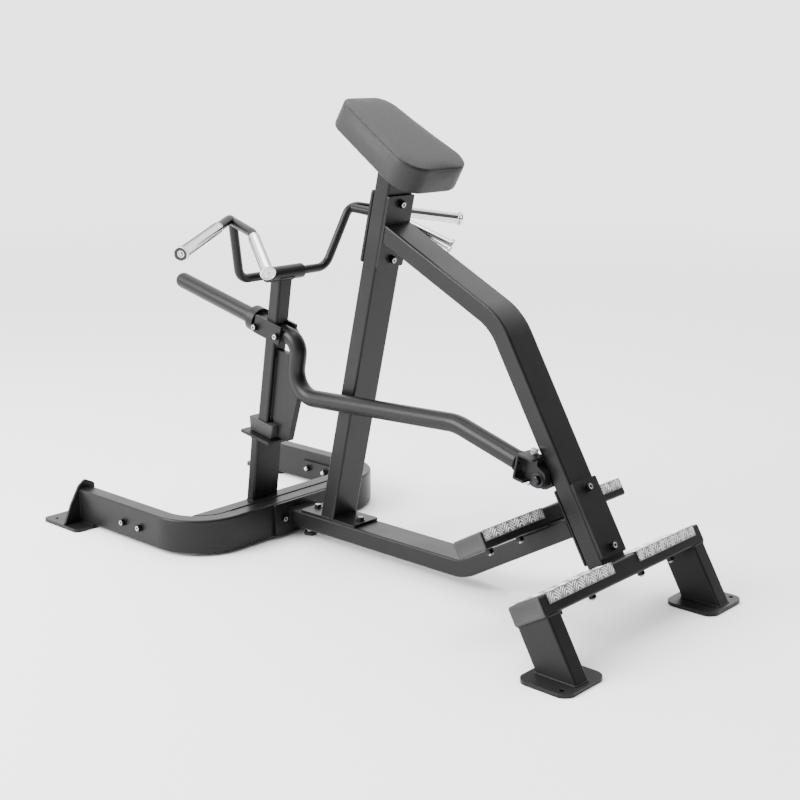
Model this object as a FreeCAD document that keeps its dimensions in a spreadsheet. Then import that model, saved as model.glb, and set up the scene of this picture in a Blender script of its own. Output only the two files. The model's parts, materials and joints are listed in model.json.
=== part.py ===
import FreeCAD, Part
import math
import os
from FreeCAD import Placement, Rotation, Vector

# Incline lever row: a chest-supported, plate-loaded rowing machine for a gym.
# Frame: +X towards the foot end, +Y across, +Z up, floor at Z = 0. The origin is the centre of the
# footprint of the overall box. The frame's own mid-plane lies at Y = mid_plane, and the lever works
# in an upright plane of its own on the -Y side of it.

doc = FreeCAD.newDocument("incline_lever_row")

# ---------------------------------------------------------------- driving dimensions (mm, degrees)
DIMENSIONS = {
    # stock and fasteners
    "mid_plane": 74.5, "wall": 3.0, "tube_wide": 100.0, "tube_thin": 50.0, "tube_corner": 6.0,
    "plate": 8.0, "foot_plate": 10.0, "weld_gap": 0.2, "bolt": 12.0, "bolt_hole": 13.0,
    "nut_size": 19.0, "nut_height": 10.0, "washer": 2.0, "anchor_hole": 12.0,
    # front base, a U seen from above, with a straight crossbeam inside its bend
    "arm_outer": 408.0, "arm_start": -850.0, "cross_face": -305.0, "base_bend": 140.0, "base_height": 100.0,
    "crossbeam_length": 666.0, "arm_bolt_start": -632.0, "arm_bolt_pitch": 78.0, "arm_bolt_height": 56.0,
    "flange_bolt_pitch": 150.0, "flange_length": 216.0, "flange_height": 96.0,
    # floor tube, riser, main post and spine
    "floor_tube_low": 34.0, "riser_angle": 30.0, "riser_run": 744.0, "riser_low": 158.0, "floor_bend": 120.0,
    "post_lean": 13.0, "post_axis": -162.7, "post_flange": 220.0, "post_base_pitch": 176.0,
    "post_clamp": 968.0, "riser_clamp": -135.0, "clamp_plate": 200.0, "clamp_pitch": 155.0,
    "spine_drop": 26.8, "spine_head_out": 85.7, "spine_head_up": 934.7,
    "spine_face": 750.0, "spine_bend": 160.0,
    # foot bars, treads and rear legs
    "lower_length": 690.0, "lower_top": -248.0, "lower_face": 728.0, "lower_depth": 50.0,
    "upper_length": 586.0, "upper_top": -62.0, "upper_face": 590.0, "upper_depth": 45.0, "bar_cap": 4.0,
    "tread_start": 54.0, "lower_tread": 266.0, "upper_tread": 236.0, "tread_sheet": 2.0, "tread_lip": 26.0,
    "leg_length": 240.0, "rear_plate_long": 146.0, "rear_plate_wide": 160.0,
    # pad
    "pad_tilt": 31.0, "pad_out": 112.0, "pad_up": 1200.0, "pad_length": 350.0, "pad_upper": 184.0,
    "pad_lower": 264.0, "cushion": 62.0, "board": 15.0, "pad_plate_long": 220.0, "pad_plate_wide": 96.0,
    "pad_screw": 8.0, "pad_screw_pitch": 184.0, "pad_screw_spread": 72.0,
    # lever
    "lever_plane": -78.0, "lever_tube": 50.0, "stem_lean": 9.3, "stem_deep": 40.0, "stem_wide": 50.0,
    "stem_length": 440.0, "bumper_height": 43.0, "bumper_wide": 62.0, "stop_gap": 0.4, "stop_lean": 8.0,
    "stop_deep": 30.0, "stop_plate": 125.0, "brace": 20.0, "side_plate_long": 108.0, "side_plate_high": 54.0,
    "horn_drop": 13.3, "horn": 48.0, "horn_length": 392.0, "collar": 76.0, "collar_thick": 28.0,
    "bar_tube": 25.0, "cross_sleeve": 42.0, "cross_sleeve_length": 132.0, "grip": 30.0, "grip_cap": 40.0,
    # hinge
    "pivot_out": 631.0, "pivot_up": 371.0, "channel_tilt": 11.0, "channel_wide": 50.0, "channel_sheet": 6.0,
    "block_wide": 23.0, "pivot_eye": 22.0, "pivot_shaft": 16.0, "running_gap": 0.05, "bush": 24.0,
    "lug": 30.0,
}
sheet = doc.addObject("Spreadsheet::Sheet", "dims")
for row, (alias, number) in enumerate(DIMENSIONS.items(), start=1):
    sheet.set("A%d" % row, alias)
    sheet.set("B%d" % row, str(number))
    sheet.setAlias("B%d" % row, alias)
doc.recompute()


def dim(alias):
    return float(sheet.get(alias))


ACROSS = Vector(0, 1, 0)
UP = Vector(0, 0, 1)
FORWARD = Vector(1, 0, 0)
SIDES = {"left": -1, "right": 1}
WALL, WIDE, THIN, PLATE = dim("wall"), dim("tube_wide"), dim("tube_thin"), dim("plate")
GAP, FOOT = dim("weld_gap"), dim("foot_plate")
NODES = {}


# ---------------------------------------------------------------- places and directions
def direction(angle):
    """Unit vector in the upright plane, at an angle above +X."""
    return Vector(math.cos(math.radians(angle)), 0, math.sin(math.radians(angle)))


def at(x, y, z):
    """A place on the machine, with y measured from its mid-plane."""
    return Vector(x, y + dim("mid_plane"), z)


def tilted(origin, along, above):
    """Function giving places in an upright plane with its own tilted pair of axes."""
    def place(a, y, b):
        point = origin + along * a + above * b
        return at(point.x, y + origin.y, point.z)
    return place


def facing(origin, normal, across=ACROSS):
    """Placement whose local x runs across and local z along the normal."""
    return Placement(origin, Rotation(across, normal.cross(across), normal, "ZXY"))


def side_on(origin, along):
    """Placement for a piece drawn in side view: local x along, local z towards -Y."""
    return Placement(origin, Rotation(along, ACROSS.cross(along).negative(), ACROSS.negative(), "ZXY"))


slope, lean, tilt = dim("riser_angle"), dim("post_lean"), dim("pad_tilt")
ALONG, RISE = direction(slope), direction(slope + 90)
POST_OUT, POST_UP = direction(-lean), direction(90 - lean)
PAD_DOWN, PAD_UP = direction(-tilt), direction(90 - tilt)
STEM_OUT, STEM_UP = direction(-dim("stem_lean")), direction(90 - dim("stem_lean"))
STOP_UP = direction(90 - dim("stop_lean"))
HORN, HORN_UP = direction(180 - dim("horn_drop")), direction(90 - dim("horn_drop"))
CHANNEL, CHANNEL_UP = direction(-dim("channel_tilt")), direction(90 - dim("channel_tilt"))
LEVER = dim("lever_plane")
PIVOT = (dim("pivot_out"), dim("pivot_up"))
rear = tilted(Vector(0, 0, 0), ALONG, RISE)
post = tilted(Vector(dim("post_axis"), 0, 0), POST_OUT, POST_UP)
pad = tilted(Vector(dim("pad_out"), 0, dim("pad_up")), PAD_DOWN, PAD_UP)
stem = tilted(Vector(-305.0, LEVER, 640.0), STEM_OUT, STEM_UP)
horn = tilted(Vector(-330.0, LEVER, 637.0), HORN, HORN_UP)
CHANNEL_HEEL = Vector(580.0, LEVER, 408.5)
channel = tilted(CHANNEL_HEEL, CHANNEL, CHANNEL_UP)


# ---------------------------------------------------------------- outlines
def rounded(points, radii):
    """Closed outline through the points, each corner rounded to its radius."""
    if not isinstance(radii, (list, tuple)):
        radii = [radii] * len(points)
    corners = []
    for i, radius in enumerate(radii):
        before, here, after = (Vector(*points[(i + step) % len(points)], 0) for step in (-1, 0, 1))
        if not radius:
            corners.append((here, here, here))
            continue
        back, on = (before - here).normalize(), (after - here).normalize()
        half = back.getAngle(on) / 2
        inward = (back + on).normalize()
        middle = here + inward * (radius / math.sin(half) - radius)
        reach = radius / math.tan(half)
        corners.append((here + back * reach, middle, here + on * reach))
    edges = []
    for i, (start, middle, end) in enumerate(corners):
        if radii[i]:
            edges.append(Part.Arc(start, middle, end))
        following = corners[(i + 1) % len(corners)][0]
        if end.distanceToPoint(following) > 1e-6:
            edges.append(Part.LineSegment(end, following))
    return edges


def rectangle(width, height, radius=0.0):
    half_width, half_height = width / 2, height / 2
    return rounded([(-half_width, -half_height), (half_width, -half_height),
                    (half_width, half_height), (-half_width, half_height)], radius)


def circle(diameter, centre=(0.0, 0.0)):
    return [Part.Circle(Vector(centre[0], centre[1], 0), UP, diameter / 2)]


def hollow(width, height):
    """Outline and bore of a rectangular tube."""
    corner = dim("tube_corner")
    return [rectangle(width, height, corner), rectangle(width - 2 * WALL, height - 2 * WALL, corner - WALL)]


def route(points, radii):
    """Open route of straight runs joined by tangent arcs."""
    vectors = [Vector(*point, 0) if len(point) == 2 else Vector(*point) for point in points]
    edges, start = [], vectors[0]
    for before, here, after, radius in zip(vectors, vectors[1:], vectors[2:], radii):
        back, on = (before - here).normalize(), (after - here).normalize()
        half = back.getAngle(on) / 2
        reach = radius / math.tan(half)
        middle = here + (back + on).normalize() * (radius / math.sin(half) - radius)
        edges.append(Part.LineSegment(start, here + back * reach))
        edges.append(Part.Arc(here + back * reach, middle, here + on * reach))
        start = here + on * reach
    return edges + [Part.LineSegment(start, vectors[-1])]


# ---------------------------------------------------------------- ways of making a piece
def register(obj, name, placement=None):
    obj.Label = name
    if placement is not None:
        obj.Placement = placement
    NODES[name] = obj
    return obj


def set_size(obj, prop, value):
    """Bind a size to the sheet when it is an expression, or set a worked-out number."""
    if isinstance(value, str):
        obj.setExpression(prop, value)
    else:
        setattr(obj, prop, value)


def sketch(body, name, role, *outlines):
    plane = next(feature for feature in body.Origin.OriginFeatures if feature.Role == role)
    drawing = body.newObject("Sketcher::SketchObject", name)
    drawing.AttachmentSupport = [(plane, "")]
    drawing.MapMode = "FlatFace"
    for outline in outlines:
        drawing.addGeometry(outline, False)
    return drawing


def extrusion(name, length, *outlines, placement):
    """Node padded from outlines in its local XY plane; outlines inside the first are holes."""
    body = doc.addObject("PartDesign::Body", name)
    solid = body.newObject("PartDesign::Pad", name + "_pad")
    solid.Profile = sketch(body, name + "_sketch", "XY_Plane", *outlines)
    set_size(solid, "Length", length)
    return register(body, name, placement)


def pipe(name, path, *outlines, placement):
    """Node swept from its origin along a route that starts along local x."""
    body = doc.addObject("PartDesign::Body", name)
    spine = sketch(body, name + "_route", "XY_Plane", path)
    section = sketch(body, name + "_section", "YZ_Plane", *outlines)
    doc.recompute()
    sweep = body.newObject("PartDesign::AdditivePipe", name + "_pipe")
    sweep.Profile = section
    sweep.Spine = (spine, ["Edge%d" % (i + 1) for i in range(len(path))])
    return register(body, name, placement)


def cylinder(name, diameter, height, placement):
    """Loose cylinder along the placement's local z."""
    rod = doc.addObject("Part::Cylinder", name)
    set_size(rod, "Radius", "%s / 2" % diameter if isinstance(diameter, str) else diameter / 2)
    set_size(rod, "Height", height)
    rod.Placement = placement
    return rod


def block(name, size, placement):
    """Loose block, centred across and lengthways on the placement, rising along its local z."""
    box = doc.addObject("Part::Box", name)
    for prop, value in zip(("Length", "Width", "Height"), size):
        set_size(box, prop, value)
    box.Placement = placement * Placement(Vector(-size[0] / 2, -size[1] / 2, 0), Rotation())
    return box


def beyond(name, placement):
    """Large block covering everything on the local +z side of a placement."""
    return block(name, (600.0, 600.0, 600.0), placement)


def hexagon(name, placement, size="dims.nut_size", height="dims.nut_height"):
    head = doc.addObject("Part::Prism", name)
    head.Polygon = 6
    set_size(head, "Circumradius", size + " / sqrt(3)" if isinstance(size, str) else size / math.sqrt(3))
    set_size(head, "Height", height)
    head.Placement = placement
    return head


def compound(name, pieces):
    bundle = doc.addObject("Part::Compound", name)
    bundle.Links = pieces
    return bundle


def together(name, pieces):
    """One node holding several alike but separate pieces."""
    for piece in pieces:
        NODES.pop(piece.Label, None)
    return register(compound(name, pieces), name)


def fused(name, pieces):
    for piece in pieces:
        NODES.pop(piece.Label, None)
    solid = doc.addObject("Part::MultiFuse", name)
    solid.Shapes = pieces
    return solid


def cut(name, tools):
    """Take tools away from a node already made, which keeps its name."""
    blank = NODES[name]
    blank.Label = name + "_before_" + tools[0].Name
    result = doc.addObject("Part::Cut", name)
    result.Base = blank
    result.Tool = tools[0] if len(tools) == 1 else compound(name + "_tools", tools)
    return register(result, name)


def drill(name, places, normal, diameter="dims.bolt_hole", depth=220.0):
    """Drill a node at several places, half the depth to each side of a place."""
    tools = [cylinder("%s_hole_%d" % (name, i), diameter, depth, facing(place - normal * (depth / 2), normal))
             for i, place in enumerate(places)]
    return cut(name, tools)


def through_bolts(name, places, normal, grip_length, washer=26.0, tail=4.0):
    """Bolts, each with its head against a place and its nut past the grip, as one solid each."""
    made, thick, nut = [], dim("washer"), dim("nut_height")
    for i, place in enumerate(places):
        tag = "%s_%d" % (name, i)
        head_top = place - normal * (thick + nut)
        far = place + normal * grip_length
        shank = cylinder(tag + "_shank", "dims.bolt", grip_length + 2 * (nut + thick) + tail,
                         facing(head_top, normal))
        made.append(fused(tag, [shank, hexagon(tag + "_head", facing(head_top, normal)),
                                cylinder(tag + "_washer", washer, "dims.washer",
                                         facing(place - normal * thick, normal)),
                                cylinder(tag + "_far_washer", washer, "dims.washer", facing(far, normal)),
                                hexagon(tag + "_nut", facing(far + normal * thick, normal))]))
    return made


def low_head_bolts(name, places, normal, grip_length, head=22.0, rise=1.6, washer=20.0, tail=4.0):
    """Bolts, each with a thin round head on a place and its nut past the grip, as one solid each."""
    made, thick, nut = [], dim("washer"), dim("nut_height")
    for i, place in enumerate(places):
        tag = "%s_%d" % (name, i)
        far = place + normal * grip_length
        made.append(fused(tag, [cylinder(tag + "_head", head, rise, facing(place - normal * rise, normal)),
                                cylinder(tag + "_shank", "dims.bolt", grip_length + thick + nut + tail,
                                         facing(place, normal)),
                                cylinder(tag + "_washer", washer, "dims.washer", facing(far, normal)),
                                hexagon(tag + "_nut", facing(far + normal * thick, normal))]))
    return made


def cap_screws(name, places, normal, shank, size="dims.nut_size", thread="dims.bolt", washer=26.0, head=8.0):
    """Screws, each with its head above a place and its shank below it, as one solid each."""
    made, thick = [], dim("washer")
    for i, place in enumerate(places):
        tag = "%s_%d" % (name, i)
        made.append(fused(tag, [cylinder(tag + "_washer", washer, "dims.washer", facing(place, normal)),
                                cylinder(tag + "_shank", thread, shank + thick,
                                         facing(place - normal * shank, normal)),
                                hexagon(tag + "_head", facing(place + normal * thick, normal), size, head)]))
    return made


def flat_plate(name, width, height, placement, drilled=(), thickness="dims.plate", corner=5.0):
    """Rectangular plate, drilled with (x, y, diameter) holes."""
    holes = [circle(diameter, (x, y)) for x, y, diameter in drilled]
    return extrusion(name, thickness, rectangle(width, height, corner), *holes, placement=placement)


def pair(pitch, diameter, along_x=False):
    """Two holes about the middle of a plate."""
    return [(sign * pitch / 2, 0, diameter) if along_x else (0, sign * pitch / 2, diameter)
            for sign in (-1, 1)]


# ---------------------------------------------------------------- front base
def front_base():
    arm_axis = dim("arm_outer") - THIN / 2
    arm_run = dim("cross_face") - THIN / 2 - dim("arm_start")
    path = route([(0, 0), (arm_run, 0), (arm_run, 2 * arm_axis), (0, 2 * arm_axis)], [dim("base_bend")] * 2)
    pipe("front_base_tube", path, *hollow(THIN, dim("base_height")),
         placement=Placement(at(dim("arm_start"), -arm_axis, BASE_MID), Rotation()))
    arm_bolts = [at(dim("arm_bolt_start") + i * dim("arm_bolt_pitch"), sign * dim("arm_outer"),
                    dim("arm_bolt_height")) for sign in SIDES.values() for i in (0, 1)]
    drill("front_base_tube", arm_bolts, ACROSS)
    drill("front_base_tube", FLANGE_BOLTS, FORWARD, depth=2 * (PLATE + WALL + 6))
    grip_length = THIN + PLATE + GAP
    together("arm_bolts", through_bolts("arm_bolt_left", arm_bolts[:2], ACROSS, grip_length)
             + through_bolts("arm_bolt_right", arm_bolts[2:], ACROSS.negative(), grip_length))
    beam_axis = dim("cross_face") - THIN - GAP - THIN / 2
    extrusion("front_crossbeam", "dims.crossbeam_length", *hollow(dim("base_height"), THIN),
              placement=Placement(at(beam_axis, -dim("crossbeam_length") / 2, BASE_MID),
                                  Rotation(UP, FORWARD, ACROSS, "ZXY")))
    room = pipe("base_envelope", path, rectangle(THIN + 2 * GAP, 2 * dim("base_height")),
                placement=Placement(at(dim("arm_start"), -arm_axis, BASE_MID), Rotation()))
    NODES.pop("base_envelope")
    cut("front_crossbeam", [room])


def front_foot(side, sign):
    """Floor plate and upright end plate of one arm; gives back the doubler inside it."""
    plate_long, plate_wide, plate_x, plate_y = 178.0, 112.0, -874.0, 414.0
    flat_plate("front_foot_plate_" + side, plate_long, plate_wide,
               Placement(at(plate_x, sign * plate_y, 0), Rotation()),
               [(-51.0, sign * 30.0, dim("anchor_hole"))], "dims.foot_plate", 18.0)
    upright = [(-54.0, 0.0), (60.0, 0.0), (60.0, 112.0), (28.0, 128.0), (4.0, 112.0), (-26.0, 62.0)]
    end_x = dim("arm_start") - GAP - (PLATE if sign < 0 else 0)
    extrusion("arm_end_plate_" + side, "dims.plate", rounded(upright, [3, 3, 12, 12, 30, 60]),
              placement=Placement(at(end_x, sign * 412.0, FOOT),
                                  Rotation(ACROSS * -sign, UP, FORWARD * -sign, "ZXY")))
    inward = ACROSS * -sign
    middle = at(dim("arm_bolt_start") + dim("arm_bolt_pitch") / 2, sign * (dim("arm_outer") - THIN - GAP),
                dim("arm_bolt_height"))
    return flat_plate("arm_doubler_" + side, 46.0, 138.0,
                      Placement(middle, Rotation(UP, inward.cross(UP), inward, "ZXY")),
                      pair(dim("arm_bolt_pitch"), dim("bolt_hole")))


BASE_MID = FOOT + dim("base_height") / 2
FLANGE_BOLTS = [at(dim("cross_face") + GAP + PLATE, sign * dim("flange_bolt_pitch") / 2, BASE_MID)
                for sign in SIDES.values()]
front_base()
together("arm_doublers", [front_foot(side, sign) for side, sign in SIDES.items()])
flat_plate("front_flange", dim("flange_length"), dim("flange_height"),
           facing(at(dim("cross_face") + GAP, 0, BASE_MID), FORWARD),
           pair(dim("flange_bolt_pitch"), dim("bolt_hole"), along_x=True))


# ---------------------------------------------------------------- floor tube and main post
FLOOR_TOP = dim("floor_tube_low") + THIN
POST_BOLTS = [at(-140.0 + sign * dim("post_base_pitch") / 2, 0, FLOOR_TOP + GAP + PLATE) for sign in (-1, 1)]
POST_CLAMP = [post(THIN / 2 + GAP + PLATE, 0, dim("post_clamp") + sign * dim("clamp_pitch") / 2)
              for sign in (-1, 1)]
RISER_CLAMP = [rear(dim("spine_face") + THIN + GAP + PLATE, 0,
                    dim("riser_clamp") + sign * dim("clamp_pitch") / 2) for sign in (-1, 1)]
PAD_UNDER = -(dim("cushion") + dim("board"))


def floor_tube():
    start = dim("cross_face") + PLATE + 2 * GAP
    mid = FLOOR_TOP - THIN / 2
    riser_mid = -dim("riser_low") + THIN / 2
    turn_run = (mid - riser_mid * RISE.z) / ALONG.z
    turn = ALONG * turn_run + RISE * riser_mid
    end = turn + ALONG * (dim("riser_run") - GAP - turn_run)
    path = route([(0, 0), (turn.x - start, 0), (end.x - start, end.z - mid)], [dim("floor_bend")])
    pipe("floor_tube", path, *hollow(THIN, WIDE), placement=side_on(at(start, 0, mid), FORWARD))
    drill("floor_tube", POST_BOLTS, UP, depth=2 * (PLATE + WALL + 8))


def main_post():
    extrusion("main_post", 1250.0, *hollow(WIDE, THIN), placement=facing(post(0, 0, 0), POST_UP))
    foot = Placement(at(0, 0, FLOOR_TOP + PLATE + 2 * GAP), Rotation(FORWARD, 180))
    head = facing(pad(0, 0, PAD_UNDER - PLATE - 2 * GAP), PAD_UP)
    cut("main_post", [beyond("below_post", foot), beyond("above_post", head)])
    drill("main_post", POST_CLAMP, POST_OUT)
    flat_plate("post_base_flange", dim("post_flange"), WIDE,
               Placement(at(-140.0, 0, FLOOR_TOP + GAP), Rotation()),
               pair(dim("post_base_pitch"), dim("bolt_hole"), along_x=True))


floor_tube()
main_post()
together("flange_screws", cap_screws("post_screw", POST_BOLTS, UP, PLATE + WALL + 5)
         + cap_screws("front_screw", FLANGE_BOLTS, FORWARD, PLATE + WALL + 5))
register(cylinder("levelling_foot", 38.0, dim("floor_tube_low") - GAP,
                  Placement(at(-262.0, 0, 0), Rotation())), "levelling_foot")


# ---------------------------------------------------------------- spine from the post's head to the foot bar
def spine():
    axis = dim("spine_face") + THIN / 2
    fall = direction(-dim("spine_drop"))
    head = Vector(dim("spine_head_out"), 0, dim("spine_head_up"))
    start = head - fall * 40.0
    turn = head + fall * ((axis - head.dot(ALONG)) / fall.dot(ALONG))
    first = (turn - start).Length
    last = turn.dot(RISE) - dim("lower_top") - GAP
    bend = math.radians(90 - slope - dim("spine_drop"))
    path = route([(0, 0), (first, 0), (first + last * math.cos(bend), -last * math.sin(bend))],
                 [dim("spine_bend")])
    pipe("spine_tube", path, *hollow(THIN, WIDE), placement=side_on(at(start.x, 0, start.z), fall))
    head_plane = facing(post(THIN / 2 + PLATE + 2 * GAP, 0, dim("post_clamp")), POST_OUT.negative())
    cut("spine_tube", [beyond("past_spine_head", head_plane)])
    drill("spine_tube", RISER_CLAMP, ALONG)


def clamp_plates():
    """Flanges and backing plates of the two bolted joints, each pair clamping one tube."""
    holes = pair(dim("clamp_pitch"), dim("bolt_hole"))
    length, mid, riser_mid = dim("clamp_plate"), dim("post_clamp"), dim("riser_clamp")
    flat_plate("spine_flange", WIDE, length, facing(post(THIN / 2 + GAP, 0, mid), POST_OUT), holes)
    backing = [flat_plate("post_backing_plate", WIDE, length,
                          facing(post(-THIN / 2 - GAP - PLATE, 0, mid), POST_OUT), holes),
               flat_plate("spine_backing_plate", WIDE, length,
                          facing(rear(dim("spine_face") + THIN + GAP, 0, riser_mid), ALONG), holes)]
    together("backing_plates", backing)
    flat_plate("riser_flange", WIDE, length, facing(rear(dim("riser_run"), 0, riser_mid), ALONG), holes,
               dim("spine_face") - dim("riser_run") - GAP)
    grip_length = THIN + 2 * (PLATE + GAP)
    together("clamp_bolts", through_bolts("post_clamp_bolt", POST_CLAMP, POST_OUT.negative(), grip_length)
             + through_bolts("riser_clamp_bolt", RISER_CLAMP, ALONG.negative(), grip_length - 2))


spine()
clamp_plates()


# ---------------------------------------------------------------- foot bars, treads and rear legs
def foot_bar(level, bolts_at):
    """Cross tube with a ribbed tread on each half, and what closes and fastens them."""
    face, top, deep, length = (dim(level + size) for size in ("_face", "_top", "_depth", "_length"))
    middle = face + WIDE / 2
    lying = Rotation(ALONG, RISE, ALONG.cross(RISE), "ZXY")
    name = level + "_foot_bar"
    extrusion(name, "dims.%s_length" % level, *hollow(WIDE, deep),
              placement=Placement(rear(middle, length / 2, top - deep / 2), lying))
    places = [rear(middle, sign * y, top + dim("tread_sheet") + GAP)
              for sign in SIDES.values() for y in bolts_at]
    drill(name, places, RISE)
    caps = [extrusion("%s_cap_%s" % (level, side), "dims.bar_cap", rectangle(WIDE - 1, deep - 1, 5.0),
                      placement=Placement(rear(middle, sign * (length / 2 + GAP)
                                               + (dim("bar_cap") if sign > 0 else 0), top - deep / 2), lying))
            for side, sign in SIDES.items()]
    half, skin, lip = WIDE / 2 + GAP, dim("tread_sheet"), dim("tread_lip")
    folded = [(-half, GAP), (half, GAP), (half, -lip), (half + skin, -lip), (half + skin, GAP + skin),
              (-half, GAP + skin)]
    start, span = dim("tread_start"), dim(level + "_tread")
    for side, sign in SIDES.items():
        far_end = start + span if sign > 0 else -start
        tread = "%s_tread_%s" % (level, side)
        extrusion(tread, "dims.%s_tread" % level, rounded(folded, 0.5),
                  placement=Placement(rear(middle, far_end, top), lying))
        drill(tread, [rear(middle, sign * y, top) for y in bolts_at], RISE)
    bolts = low_head_bolts(level + "_tread_bolt", places, RISE.negative(), deep + skin + GAP)
    return caps, bolts


def rear_leg(side, sign):
    leg_y = sign * (dim("lower_length") / 2 - THIN / 2 - 2.0)
    name = "rear_leg_" + side
    under_bar = rear(dim("lower_face") + WIDE / 2, leg_y, dim("lower_top") - dim("lower_depth") - GAP)
    extrusion(name, "dims.leg_length", *hollow(THIN, WIDE), placement=facing(under_bar, RISE.negative()))
    cut(name, [beyond("below_" + name, Placement(at(900.0, leg_y, FOOT + GAP), Rotation(FORWARD, 180)))])
    flat_plate("rear_foot_plate_" + side, dim("rear_plate_long"), dim("rear_plate_wide"),
               Placement(at(890.0, sign * 317.0, 0), Rotation()), [(46.0, sign * 60.0, dim("anchor_hole"))],
               "dims.foot_plate", 30.0)


lower_caps, lower_bolts = foot_bar("lower", (107.0, 245.0))
upper_caps, upper_bolts = foot_bar("upper", (115.0, 235.0))
together("foot_bar_caps", lower_caps + upper_caps)
together("tread_bolts", lower_bolts + upper_bolts)
for side, sign in SIDES.items():
    rear_leg(side, sign)


# ---------------------------------------------------------------- pad
def chest_pad():
    """Cushion on a board, screwed to a plate on the head of the post; the lower end is the wider."""
    half_long, upper, lower = dim("pad_length") / 2, dim("pad_upper") / 2, dim("pad_lower") / 2
    inset = 2.0
    for name, thickness, base, trim in (("pad_cushion", "dims.cushion", -dim("cushion"), 0.0),
                                        ("pad_board", "dims.board", PAD_UNDER, inset)):
        outline = [(-upper + trim, half_long - trim), (-lower + trim, trim - half_long),
                   (lower - trim, trim - half_long), (upper - trim, half_long - trim)]
        extrusion(name, thickness, rounded(outline, [55 - trim, 70 - trim, 70 - trim, 55 - trim]),
                  placement=facing(pad(0, 0, base), PAD_UP))
    screws = [(x * dim("pad_screw_spread") / 2, y * dim("pad_screw_pitch") / 2)
              for x in (-1, 1) for y in (-1, 1)]
    clearance = dim("pad_screw") + 1.0
    flat_plate("pad_mount_plate", dim("pad_plate_wide"), dim("pad_plate_long"),
               facing(pad(0, 0, PAD_UNDER - PLATE - GAP), PAD_UP), [(x, y, clearance) for x, y in screws])
    places = [pad(-y, x, PAD_UNDER - PLATE - GAP) for x, y in screws]
    bite = 12.0
    drill("pad_board", places, PAD_UP, clearance, 2 * (PLATE + bite + 1))
    together("pad_screws", cap_screws("pad_screw", places, PAD_UP.negative(), PLATE + bite, 13.0,
                                      "dims.pad_screw", 18.0, 6.0))


chest_pad()

# ---------------------------------------------------------------- lever
BUMPER_TOP = -288.0
TUBE_POINTS = [(-284.0, 625.0), (-212.0, 608.0), (-241.0, 446.0), (370.0, 471.0), (575.5, 409.9)]
TUBE_BENDS = [45.0, 70.0, 150.0]
SIDE_BOLTS = [horn(along, -(dim("stem_wide") / 2 + GAP + PLATE), above)
              for along, above in ((28.0, -8.0), (-62.0, -4.0))]
CROSS_SLEEVE = (-272.0, 798.0)


def stop_post():
    """Upright on the crossbeam that carries the lever at rest."""
    face = BUMPER_TOP - dim("bumper_height") - dim("stop_gap")
    head = stem(0, 0, face - PLATE - GAP)
    reach = 230.0
    extrusion("stop_post", reach, *hollow(WIDE, dim("stop_deep")),
              placement=facing(head - STOP_UP * reach, STOP_UP))
    foot = Placement(at(-380.0, 0, FOOT + dim("base_height") + GAP), Rotation(FORWARD, 180))
    cut("stop_post", [beyond("below_stop_post", foot),
                      beyond("above_stop_post", facing(stem(0, 0, face - PLATE - GAP), STEM_UP))])
    flat_plate("stop_plate", WIDE, dim("stop_plate"), facing(stem(0, 0, face - PLATE), STEM_UP))


def lever_tube():
    start = Vector(TUBE_POINTS[0][0], 0, TUBE_POINTS[0][1])
    heading = (Vector(TUBE_POINTS[1][0], 0, TUBE_POINTS[1][1]) - start).normalize()
    upward = ACROSS.cross(heading).negative()
    offsets = [Vector(x, 0, z) - start for x, z in TUBE_POINTS]
    path = route([(offset.dot(heading), offset.dot(upward)) for offset in offsets], TUBE_BENDS)
    placement = side_on(at(start.x, LEVER, start.z), heading)
    tube = dim("lever_tube")
    pipe("lever_tube", path, circle(tube), circle(tube - 2 * WALL), placement=placement)
    drill("lever_tube", [SIDE_BOLTS[1]], ACROSS)
    envelope = pipe("tube_envelope", path, circle(tube + 2 * GAP), placement=placement)
    NODES.pop("tube_envelope")
    return envelope


def lever_stem():
    name = "lever_stem"
    deep, wide = dim("stem_deep"), dim("stem_wide")
    extrusion(name, "dims.stem_length", *hollow(wide, deep),
              placement=facing(stem(0, 0, BUMPER_TOP + GAP), STEM_UP))
    sleeve_side = facing(at(CROSS_SLEEVE[0], LEVER - wide, CROSS_SLEEVE[1]), ACROSS)
    cut(name, [cylinder("stem_saddle", dim("cross_sleeve") + 2 * GAP, 2 * wide, sleeve_side)])
    drill(name, SIDE_BOLTS, ACROSS)
    plate_long = dim("side_plate_long")
    for side, sign in SIDES.items():
        inner = sign * (wide / 2 + GAP) + (PLATE if sign > 0 else 0)
        name = "lever_side_plate_" + side
        extrusion(name, "dims.plate", rectangle(plate_long, dim("side_plate_high"), 3.0),
                  placement=side_on(horn(-18.0, inner, 0), HORN.negative()))
        drill(name, SIDE_BOLTS, ACROSS)
    together("side_plate_bolts", through_bolts("side_plate_bolt", SIDE_BOLTS, ACROSS,
                                               wide + 2 * (PLATE + GAP), washer=22.0))


def bumper():
    """Rubber block under the stem, narrower at its foot."""
    wedge = doc.addObject("Part::Wedge", "bumper")
    foot, head, wide = 46.0, 52.0, dim("bumper_wide") / 2
    wedge.Xmin, wedge.Xmax, wedge.X2min, wedge.X2max = -foot, foot, -head, head
    wedge.Zmin, wedge.Zmax, wedge.Z2min, wedge.Z2max = 4 - wide, wide - 4, -wide, wide
    wedge.Ymin = 0.0
    set_size(wedge, "Ymax", "dims.bumper_height")
    register(wedge, "bumper", Placement(stem(0, 0, BUMPER_TOP - dim("bumper_height")),
                                        Rotation(STEM_OUT, STEM_UP, STEM_OUT.cross(STEM_UP), "ZXY")))
    return block("bumper_envelope", (wide * 2, 2 * (head + GAP), dim("bumper_height") + 2 * GAP),
                 facing(stem(0, 0, BUMPER_TOP - dim("bumper_height") - GAP), STEM_UP))


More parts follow.
